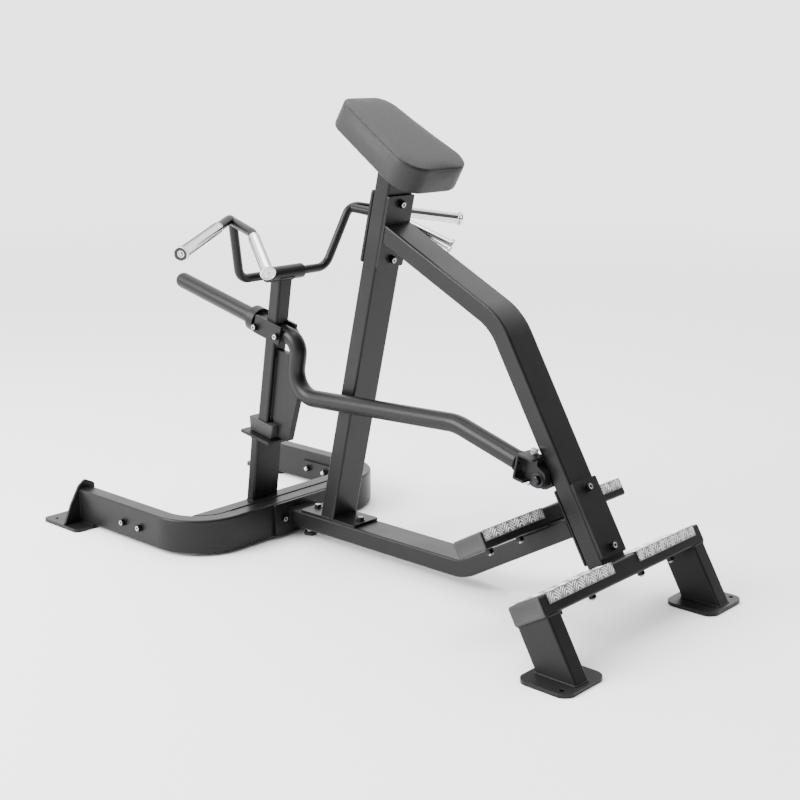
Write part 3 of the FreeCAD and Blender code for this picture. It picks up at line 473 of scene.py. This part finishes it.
def low_head_bolt(piece, place, axis, grip, thread=12.0):
    """Bolt with a thin round head, a black hexagon on it painted as the shade of a driving socket, and its
    nut past the grip.
    """
    axis = axis.normalized()
    piece.turned(place, -axis, [(11.0, 0.0), (11.0, 0.5), (9.6, 1.4), (6.5, 1.6), (0.1, 1.6)], 1, 40)
    # A flat black hexagon standing just proud of the bright head: painted shade in place of a driving socket.
    piece.turned(place, -axis, [(hexagonal(7.0), 1.5), (hexagonal(7.0), 1.64), (0.1, 1.64)], 0, HEX_STEPS)
    piece.turned(place, axis, [(thread / 2 - 0.05, 0.0), (thread / 2 - 0.05, grip + 6.0)], 1, 24)
    washer(piece, place + axis * grip, axis, 10.0, 0.3 * thread)
    nut(piece, place + axis * (grip + 2.0), axis, 19.0, 10.0, thread, 4.0)


def cap_screw(piece, place, axis, shank, size=19.0, thread=12.0, ring=13.0, tall=8.0):
    """Hexagon screw with a washer, its shank down a blind hole."""
    axis = axis.normalized()
    washer(piece, place, axis, ring, 0.3 * thread)
    bolt_head(piece, place + axis * 2.0, axis, size, tall)
    piece.turned(place - axis * shank, axis, [(thread / 2 - 1.0, 0.0), (thread / 2 - 0.05, 1.0),
                                              (thread / 2 - 0.05, shank + 3.0)], 1, 24)


def fasteners():
    arms, flanges, clamps = Piece(BOLT, BRIGHT), Piece(BOLT, BRIGHT), Piece(BOLT, BRIGHT)
    for x in (-632.0, -554.0):
        for sign in (-1, 1):
            through_bolt(arms, at(x, sign * 408.0, 56.0), ACROSS * -sign, 58.2)
    for sign in (-1, 1):
        cap_screw(flanges, at(-296.8, sign * 75.0, 60.0), FORWARD, 16.0)
        cap_screw(flanges, at(-140.0 + sign * 88.0, 0.0, 92.2), UP, 16.0)
        through_bolt(clamps, post(33.2, 0, 968.0 + sign * CLAMP_REACH), -POST_OUT, 66.4)
        through_bolt(clamps, rear(808.2, 0, -135.0 + sign * CLAMP_REACH), -ALONG, 64.4)
    arms.made("arm_bolt_set", "frame", "black_bolt", "arm_bolts")
    flanges.made("flange_screw_set", "frame", "black_bolt", "flange_screws")
    clamps.made("clamp_bolt_set", "frame", "black_bolt", "clamp_bolts")
    treads = Piece(BOLT, BRIGHT)
    for foot_bar in FOOT_BARS:
        for y in foot_bar.bolts_at:
            for sign in (-1, 1):
                low_head_bolt(treads, rear(foot_bar.middle, sign * y, foot_bar.top + 2.2), -RISE,
                              foot_bar.depth + 2.2)
    treads.made("tread_bolt_set", "frame", "black_bolt", "tread_bolts")
    pads = Piece(BOLT, BRIGHT)
    for a in (-92.0, 92.0):
        for y in (-36.0, 36.0):
            cap_screw(pads, pad(a, y, -85.2), -PAD_UP, 20.0, 13.0, 8.0, 9.0, 6.0)
    pads.made("pad_screw_set", "frame", "black_bolt", "pad_screws")
    sides = Piece(BOLT, BRIGHT)
    for along, above in ((28.0, -8.0), (-62.0, -4.0)):
        through_bolt(sides, horn(along, -33.2, above), ACROSS, 66.4, ring=11.0)
    sides.made("side_plate_bolt_set", "lever", "black_bolt", "side_plate_bolts")
    hinge = Piece(BRIGHT, BRIGHT)
    through_bolt(hinge, channel(24.5, 14.0, 30.0), -CHANNEL_UP, 70.0, ring=10.0)
    hinge.made("channel_bolt_set", "lever", "zinc_bolt", "channel_bolt")
    pin = Piece(BOLT, BRIGHT)
    inner = LEVER + 0.7
    pin.turned(hinge_at(inner - 2.5), ACROSS, [(8.0, 0.0), (19.5, 0.0), (20.0, 0.5), (20.0, 2.0), (19.5, 2.5),
                                               (8.0, 2.5)], 0, 56)
    bolt_head(pin, hinge_at(inner - 2.5), -ACROSS, 22.0, 9.0, ring=0)
    pin.turned(hinge_at(inner - 3.0), ACROSS, [(7.95, 0.0), (7.95, 50.0 - inner + 8.0)], 0, 32)
    washer(pin, hinge_at(50.2), ACROSS, 15.0, 6.0, 2.5)
    nut(pin, hinge_at(52.7), ACROSS, 22.0, 10.0, 16.0, 2.5)
    pin.made("pivot_pin", "frame", "black_bolt", "pivot_bolt")


# ------------------------------------------------------------------------------------ treads
RIB_CELL = 24.5


def folded_sheet(piece, middle, top, start, span, sign):
    """Sheet over the top of a foot bar with a lip down its foot-end face."""
    half, skin, lip, turn = 50.2, TREAD_SKIN, TREAD_LIP, 1.6
    outer = [(-half, 0.2), (half, 0.2), (half, -lip), (half + skin, -lip)]
    outer += [(half + skin - turn + turn * math.cos(a), 0.2 + skin - turn + turn * math.sin(a))
              for a in (k * math.pi / 8 for k in range(5))]
    outer += [(-half, 0.2 + skin)]
    rings = [[rear(middle + a, sign * y, top + c) for a, c in outer] for y in (start, start + span)]
    piece.skin(rings)


def rib(piece, centre, u, v, normal, angle, length, bend):
    """One raised rib: a shallow arc with a rounded back and tapered ends."""
    cosine, sine = math.cos(angle), math.sin(angle)
    left, right, back, count = [], [], [], 6
    for i in range(count + 1):
        t = 2.0 * i / count - 1.0
        a, b = t * length / 2, bend * (1 - t * t)
        spot = centre + u * (a * cosine - b * sine) + v * (a * sine + b * cosine)
        side = (v * cosine - u * sine) * (1.8 * math.sqrt(max(0.02, 1 - t * t * 0.92)))
        rise = 1.2 * math.sqrt(max(0.0, 1 - t ** 4))
        left.append(spot + side)
        right.append(spot - side)
        back.append(spot + normal * rise)
    verts = [[piece.mesh.verts.new(p) for p in row] for row in (left, back, right)]
    for one, two in zip(verts, verts[1:]):
        for i in range(count):
            piece.mesh.faces.new((one[i], one[i + 1], two[i + 1], two[i])).material_index = 1


def ribbed(piece, corner, u, v, normal, width, height, cell, avoid):
    """Groups of parallel ribs, each group lying across its neighbours."""
    across, along = max(1, round(width / cell)), max(1, round(height / cell))
    for i in range(across):
        for j in range(along):
            centre = corner + u * ((i + 0.5) * width / across) + v * ((j + 0.5) * height / along)
            lean = math.radians(45 if (i + j) % 2 else -45)
            for k in range(4):
                shift = (k - 1.5) * cell * 0.27
                spot = centre + (v * math.cos(lean) - u * math.sin(lean)) * shift
                if all((spot - other).length > 17.0 for other in avoid):
                    rib(piece, spot, u, v, normal, lean, cell * (0.66 if k in (0, 3) else 1.08), 1.2)


def treads():
    """Ribbed sheet on each half of both foot bars."""
    start = TREAD_START
    for level, middle, top, _, _, span, spots in FOOT_BARS:
        for side, sign in (("left", -1), ("right", 1)):
            # Second material: the brighter aluminium copy on the ribs, a painted highlight.
            piece = Piece(TREAD, RIB)
            folded_sheet(piece, middle, top, start, span, sign)
            avoid = [rear(middle, sign * y, top + 2.2) for y in spots]
            u = ACROSS * sign
            face = rear(middle - 49, sign * (start + 1), top + 2.15)
            ribbed(piece, face, u, ALONG, RISE, span - 2, 99.0, RIB_CELL, avoid)
            face = rear(middle + 52.15, sign * (start + 1), top - 24.5)
            ribbed(piece, face, u, RISE, ALONG, span - 2, 24.5, RIB_CELL, avoid)
            piece.made("%s_tread_plate_%s" % (level, side), "frame", "tread_aluminium",
                       "%s_tread_%s" % (level, side), sharp=50.0)


# ------------------------------------------------------------------------------------ handles
ELBOW, OUTER_END = (-228.0, 224.0, 975.0), (-70.0, 525.0, 923.0)
INNER_START, INNER_END = (-102.0, 267.0, 948.0), (46.0, 350.0, 870.0)


def mirrored(point, sign):
    return at(point[0], LEVER + sign * point[1], point[2])


def handles():
    """Chrome grips turned with a bead at the root, and the flanged caps that close them."""
    caps = Piece(POLISHED, SHADED_CAP_FACE, BRIGHT)
    for side, sign in (("left", -1), ("right", 1)):
        for which, root, end, bare in (("outer", ELBOW, OUTER_END, 0.30),
                                       ("inner", INNER_START, INNER_END, 0.12)):
            root, end = mirrored(root, sign), mirrored(end, sign)
            axis = (end - root).normalized()
            length = (end - root).length * (1 - bare)
            grip = Piece(GRIP)
            grip.turned(end - axis * length, axis, [
                (12.8, 0.0), (14.2, 0.0), (15.0, 0.8), (15.0, 5.0), (14.5, 5.5), (14.5, 6.5), (15.0, 7.0),
                (15.0, length * 0.5), (15.0, length - 7.0), (14.5, length - 6.5), (14.5, length - 5.5),
                (15.0, length - 5.0), (15.0, length - 0.6), (14.4, length), (12.8, length)], 0, 64)
            grip.made("%s_grip_tube_%s" % (which, side), "lever", "chrome_grip",
                      "%s_grip_%s" % (which, side))
            place = end + axis * 0.2
            caps.turned(place, axis, [(0.1, 0.0), (19.2, 0.0), (20.0, 0.8), (20.0, 5.6), (18.9, 6.9),
                                      (17.2, 7.0), (16.6, 6.2), (16.2, 5.4)], 0, 64)
            # The outer caps' recessed faces take the dark steel, painted shade; the inner caps' faces take
            # the bright steel.
            face = 1 if which == "outer" else 2
            caps.turned(place, axis, [(16.25, 4.0), (16.25, 5.45), (8.6, 5.6), (8.2, 5.1), (7.0, 5.1),
                                      (6.6, 5.6), (4.6, 5.7)], face, 64)
            caps.turned(place, axis, [(4.6, 4.0), (4.6, 6.2), (4.0, 6.7), (0.1, 6.9)], 2, 40)
    caps.made("grip_cap_set", "lever", "end_cap_chrome", "grip_end_caps")


# ------------------------------------------------------------------------------------ welds
def welds():
    """Beads where the frame's and the lever's parts meet."""
    frame_welds = Piece(WELD)
    bead = frame_welds.bead
    bead(box_loop(at(-141.4, 0, 92.6), FORWARD, ACROSS, 51.6, WIDE), UP)
    bead(box_loop(at(-296.4, 0, 59.0), ACROSS, UP, WIDE, THIN), FORWARD)
    bead(box_loop(post(34.0, 0, 966.2), POST_UP, ACROSS, 51.6, WIDE), POST_OUT)
    bead(box_loop(rear(743.4, 0, -133.0), RISE, ACROSS, THIN, WIDE), ALONG)
    bead(box_loop(rear(775.0, 0, -247.4), ALONG, ACROSS, THIN, WIDE), RISE)
    bead(box_loop(rear(640.0, 0, -107.6), ALONG, ACROSS, WIDE, WIDE, 2.0), RISE)
    bead(box_loop(pad(30.1, 0, -85.8), PAD_DOWN, ACROSS, 52.8, WIDE), PAD_UP)
    bead(box_loop(at(-387.2, LEVER, 110.4), FORWARD, ACROSS, 30.5, WIDE), UP)
    bead(box_loop(stem(0, 0, -339.9), STEM_OUT, ACROSS, 30.4, WIDE), STEM_UP)
    bead([at(-355.1, -230, 110.2), at(-355.1, 230, 110.2)], UP, closed=False)
    for sign in (-1, 1):
        bead(box_loop(at(-849.2, sign * ARM_Y, 60.0), ACROSS, UP, THIN, WIDE), FORWARD)
        for edge in (-25.2, 25.2):
            bead([at(-848, sign * ARM_Y + edge, 10.4), at(-787, sign * ARM_Y + edge, 10.4)], UP, closed=False)
        bead([at(-858.4, sign * 352.0, 10.4), at(-858.4, sign * 466.0, 10.4)], UP, closed=False)
        bead(box_loop(rear(778.0, sign * LEG_Y, -298.4), ALONG, ACROSS, WIDE, THIN), RISE)
        bead(box_loop(at(892.5, sign * LEG_Y, 10.6), FORWARD, ACROSS, 115.9, THIN), UP)
        bead([rear(749.4, sign * 41.8, z) for z in (-22.0, 44.0)], ALONG, closed=False, radius=2.0)
    frame_welds.made("frame_weld_beads", "frame", "black_powder_coat", sharp=60.0)
    lever_welds = Piece(WELD)
    bead = lever_welds.bead
    tube_end = Vector((575.5 - 370.0, 0, 409.9 - 471.0)).normalized()
    bead(round_loop(at(574.0, LEVER, 410.3), tube_end, TUBE_RADIUS), tube_end, radius=2.4)
    bead(round_loop(horn(43.4, 0, 0), HORN, 23.6), HORN, radius=2.4)
    bead(round_loop(horn(72.2, 0, 0), HORN, 24.2), HORN)
    saddle = []
    for y, turns in ((-TUBE_RADIUS, range(25, 156, 10)), (TUBE_RADIUS, range(155, 24, -10))):
        for turn in turns:
            a = math.radians(turn)
            saddle.append(bar_at(y) + STEM_OUT * (BAR_RADIUS * math.cos(a))
                          - STEM_UP * (BAR_RADIUS * math.sin(a)))
    bead(saddle, STEM_UP)
    for y in (-10.2, 10.2):
        bead([stem(20.4, y, -284.0), stem(20.4, y, -82.0)], STEM_OUT, closed=False)
    for y in (-66.5, 66.5):
        bead(round_loop(bar_at(y), ACROSS, 12.9), ACROSS, radius=2.4)
    lever_welds.made("lever_weld_beads", "lever", "black_powder_coat", sharp=60.0)


# ------------------------------------------------------------------------------------ small pieces
def small_pieces():
    """Levelling foot, bumper and the caps that close the foot bars."""
    foot = Piece(RUBBER, BRIGHT)
    foot.turned(at(-262, 0, 0), UP, [(17.0, 0.0), (18.4, 0.6), (19.0, 2.2), (19.0, 7.0), (17.4, 9.4),
                                     (13.0, 10.6), (0.1, 10.8)], 0, 48)
    bolt_head(foot, at(-262, 0, 10.6), UP, 19.0, 7.0, 1)
    foot.turned(at(-262, 0, 14.0), UP, [(5.2, 0.0)] + [(6.0 - 0.6 * (k % 2), 0.7 * k) for k in range(1, 28)]
                + [(5.4, 19.8)], 1, 32)
    foot.made("levelling_foot_set", "frame", "foot_rubber", "levelling_foot")
    pieces = Piece(RUBBER)
    low = stem(0, 0, -331.0)
    levels = [(0.0, 43.5, 24.6), (1.2, 45.2, 26.2), (3.2, 46.4, 27.3), (39.8, 51.5, 30.7), (41.8, 51.2, 30.4),
              (43.0, 49.6, 28.8)]
    rings = [box_loop(low + STEM_UP * height, STEM_OUT, ACROSS, 2 * half, 2 * wide, 5.0)
             for height, half, wide in levels]
    pieces.skin(rings)
    pieces.made("bumper_block", "lever", "bumper_rubber", "bumper", sharp=30.0)
    caps = Piece(PLASTIC)
    for _, middle, top, depth, length, _, _ in FOOT_BARS:
        centre, wide = top - depth / 2, depth - 1.0
        for sign in (-1, 1):
            rings = []
            for out, inset in ((0.3, 0.4), (3.0, 0.4), (3.9, 1.2), (4.2, 3.0), (4.2, 8.0), (3.7, 9.0)):
                rings.append(box_loop(rear(middle, sign * (length + out), centre), ALONG, RISE,
                                      99.0 - 2 * inset, wide - 2 * inset, max(2.5, 5.0 - 0.4 * inset)))
            caps.skin(rings)
    caps.made("foot_bar_cap_set", "frame", "cap_plastic", "foot_bar_caps", sharp=30.0)


# ------------------------------------------------------------------------------------ chest pad
BOARD_BACK = -76.8
CLOTH_FRAMES, SMOOTHINGS, SWELL_LIMIT = 20, 60, 0.006


def pad_outline(inset, steps=14):
    """Rounded tapering outline: (along the pad, across it)."""
    corners = [(-175.0 + inset, -92.0 + inset, 55.0), (175.0 - inset, -132.0 + inset, 70.0),
               (175.0 - inset, 132.0 - inset, 70.0), (-175.0 + inset, 92.0 - inset, 55.0)]
    line = []
    for i, (a, y, radius) in enumerate(corners):
        radius = max(4.0, radius - inset)
        here = Vector((a, y))
        back = (Vector(corners[i - 1][:2]) - here).normalized()
        on = (Vector(corners[(i + 1) % 4][:2]) - here).normalized()
        half = back.angle(on) / 2
        centre = here + (back + on).normalized() * (radius / math.sin(half))
        start = here + back * (radius / math.tan(half)) - centre
        end = here + on * (radius / math.tan(half)) - centre
        sweep = start.angle(end)
        for k in range(steps + 1):
            share = k / steps
            spot = (start * math.sin((1 - share) * sweep) + end * math.sin(share * sweep)) / math.sin(sweep)
            line.append(centre + spot)
    return line


def pad_ring(inset, height):
    return [pad(a, y, height) for a, y in pad_outline(inset)]


def cushion():
    """One vinyl cover stretched over the foam cushion and its board, blown up a little."""
    shape = Piece(VINYL)
    small = 2.0
    levels = [(60.0, BOARD_BACK), (16.0, BOARD_BACK), (small + 5.0, -76.4), (small + 1.6, -74.6),
              (small, -71.0), (small, -40.0), (small, -9.0), (small + 0.8, -5.6), (small + 2.8, -3.2),
              (small + 6.5, -2.1), (small + 16.0, -1.8), (60.0, -1.8)]
    shape.skin([pad_ring(inset, height) for inset, height in levels])
    cover = shape.made("pad_cover", "frame", "pad_vinyl", "pad_cushion", "pad_board", sharp=180.0)
    remesh = cover.modifiers.new("even_mesh", "REMESH")
    remesh.mode, remesh.voxel_size, remesh.use_smooth_shade = "VOXEL", 0.0045, True
    bake(cover)
    inflate(cover)
    finer = cover.modifiers.new("finer", "SUBSURF")
    finer.levels = finer.render_levels = 1
    bake(cover)
    cover.data.polygons.foreach_set("use_smooth", [True] * len(cover.data.polygons))
    return cover


def inflate(cover):
    """Blow the cover up as cloth held round the board, then keep the smooth part of the swelling."""
    mesh = cover.data
    start = [v.co.copy() for v in mesh.vertices]
    near = [[] for _ in start]
    for edge in mesh.edges:
        a, b = edge.vertices
        near[a].append(b)
        near[b].append(a)
    held = cover.vertex_groups.new(name="board")
    base = pad(0, 0, BOARD_BACK) * MM
    held.add([i for i, co in enumerate(start) if (co - base).dot(PAD_UP) < 0.016], 1.0, "REPLACE")
    cloth = cover.modifiers.new("cover", "CLOTH")
    settings = cloth.settings
    settings.quality, settings.mass = 6, 0.3
    settings.tension_stiffness = settings.compression_stiffness = 40.0
    settings.shear_stiffness, settings.bending_stiffness = 30.0, 8.0
    settings.use_pressure, settings.uniform_pressure_force = True, 4.0
    settings.vertex_group_mass = "board"
    settings.effector_weights.gravity = 0.0
    cloth.point_cache.frame_start, cloth.point_cache.frame_end = 1, CLOTH_FRAMES
    scene = bpy.context.scene
    for number in range(1, CLOTH_FRAMES + 1):
        scene.frame_set(number)
    bake(cover)
    scene.frame_set(1)
    swell = [vert.co - was for vert, was in zip(cover.data.vertices, start)]
    for _ in range(SMOOTHINGS):
        swell = [(step + sum((swell[j] for j in beside), Vector()) / len(beside)) / 2 if beside else step
                 for step, beside in zip(swell, near)]
    for vert, was, step in zip(cover.data.vertices, start, swell):
        vert.co = was + step * (SWELL_LIMIT / (SWELL_LIMIT + step.length))


def bake(piece):
    """Apply all of a piece's modifiers."""
    graph = bpy.context.evaluated_depsgraph_get()
    result = bpy.data.meshes.new_from_object(piece.evaluated_get(graph), depsgraph=graph)
    old = piece.data
    piece.modifiers.clear()
    piece.data = result
    bpy.data.meshes.remove(old)


def seam(cover):
    """Welt and stitches that follow the top edge of the cover."""
    tree = BVHTree.FromObject(cover, bpy.context.evaluated_depsgraph_get())
    outline = pad_outline(-30.0)
    middle = [(a * 0.25, y * 0.25) for a, y in pad_outline(0.0)]

    def around(height):
        line = []
        for (a, y), (b, x) in zip(outline, middle):
            start, inner = pad(a, y, height) * MM, pad(b, x, height) * MM
            hit = tree.ray_cast(start, (inner - start).normalized())[0]
            if hit is not None:
                line.append(hit * PER_METRE)
        return line

    welt = Piece(VINYL)
    line = spaced(around(-6.5), 4.0, True)
    rings = []
    for i, point in enumerate(line):
        heading = (line[(i + 1) % len(line)] - line[i - 1]).normalized()
        out = heading.cross(PAD_UP).normalized()
        rings.append([point + out * (1.3 * math.cos(a)) + PAD_UP * (1.3 * math.sin(a))
                      for a in (k * math.pi / 5 for k in range(10))])
    welt.skin(rings, closed=True)
    welt.made("pad_welt", "frame", "pad_vinyl", sharp=180.0)
    stitches = Piece(THREAD)
    for point in spaced(around(-11.5), 6.0, True):
        heading = (pad(0, 0, 0) - point)
        heading = heading - PAD_UP * heading.dot(PAD_UP)
        along = heading.normalized().cross(PAD_UP)
        stitches.turned(point - along * 1.9, along, [(0.25, 0.0), (0.55, 0.5), (0.6, 1.9), (0.55, 3.3),
                                                     (0.25, 3.8)], 0, 8)
    stitches.made("pad_stitches", "frame", "pad_vinyl", sharp=180.0)


fasteners()
treads()
handles()
welds()
small_pieces()
seam(cushion())

# ------------------------------------------------------------------------------------ stage
LENS, SENSOR = 62.1, 36.0
CAMERA_AT, CAMERA_TILT, CAMERA_TURN = (2.5835, -2.7257 + MID_PLANE, 1.3763), 76.25, 42.32
BRIGHTEST, DIMMEST = 3.0, 0.12


def by_direction(tree, heading):
    """Brightness of the surround in a direction: strongest behind, dim towards the foot end."""
    split = tree.nodes.new("ShaderNodeSeparateXYZ")
    fade = tree.nodes.new("ShaderNodeMapRange")
    fade.interpolation_type = "SMOOTHSTEP"
    for name, value in (("From Min", -0.1), ("From Max", 0.7), ("To Min", BRIGHTEST), ("To Max", DIMMEST)):
        fade.inputs[name].default_value = value
    tree.links.new(heading, split.inputs["Vector"])
    tree.links.new(split.outputs["X"], fade.inputs["Value"])
    return fade.outputs["Result"]


def studio():
    """Pale floor that melts into a soft surround, two soft lights and the camera."""
    bpy.ops.mesh.primitive_plane_add(size=120.0)
    floor = bpy.context.object
    floor.name = "floor"
    material, shader, add, link = new_material("pale_floor")
    shader.inputs["Base Color"].default_value = (0.95, 0.95, 0.95, 1.0)
    shader.inputs["Roughness"].default_value = 0.9
    shader.inputs["Specular IOR Level"].default_value = 0.05
    where = object_space(add)
    away = add("ShaderNodeVectorMath", {0: where}, operation="LENGTH").outputs["Value"]
    heading = add("ShaderNodeVectorMath", {0: where}, operation="NORMALIZE").outputs["Vector"]
    brightness = by_direction(material.node_tree, heading)
    glow = add("ShaderNodeEmission", {"Strength": brightness}).outputs["Emission"]
    faded = add("ShaderNodeMixShader", {0: ramp(add, away, 2.5, 9.0), 1: shader.outputs["BSDF"], 2: glow})
    link(faded.outputs["Shader"], material.node_tree.nodes["Material Output"].inputs["Surface"])
    floor.data.materials.append(material)
    world = bpy.data.worlds.new("studio")
    bpy.context.scene.world = world
    world.use_nodes = True
    tree = world.node_tree
    heading = tree.nodes.new("ShaderNodeTexCoord").outputs["Generated"]
    background = tree.nodes["Background"]
    background.inputs["Color"].default_value = (1.0, 1.0, 1.0, 1.0)
    tree.links.new(by_direction(tree, heading), background.inputs["Strength"])
    for name, spot, aim, size, power in (
            ("key", (-2.2, -4.4, 3.2), (0, 0, 0.6), 3.0, 700.0),
            ("top", (-0.6, 0.4, 4.8), (0, 0, 0.4), 3.4, 200.0)):
        data = bpy.data.lights.new(name, "AREA")
        data.shape, data.size, data.energy = "SQUARE", size, power
        lamp = bpy.data.objects.new(name, data)
        bpy.context.scene.collection.objects.link(lamp)
        lamp.location = spot
        lamp.rotation_euler = (Vector(aim) - Vector(spot)).to_track_quat("-Z", "Y").to_euler()
    camera_data = bpy.data.cameras.new("camera")
    camera = bpy.data.objects.new("camera", camera_data)
    bpy.context.scene.collection.objects.link(camera)
    camera_data.lens, camera_data.sensor_width = LENS, SENSOR
    camera.location = CAMERA_AT
    camera.rotation_euler = (math.radians(CAMERA_TILT), 0.0, math.radians(CAMERA_TURN))
    bpy.context.scene.camera = camera


studio()
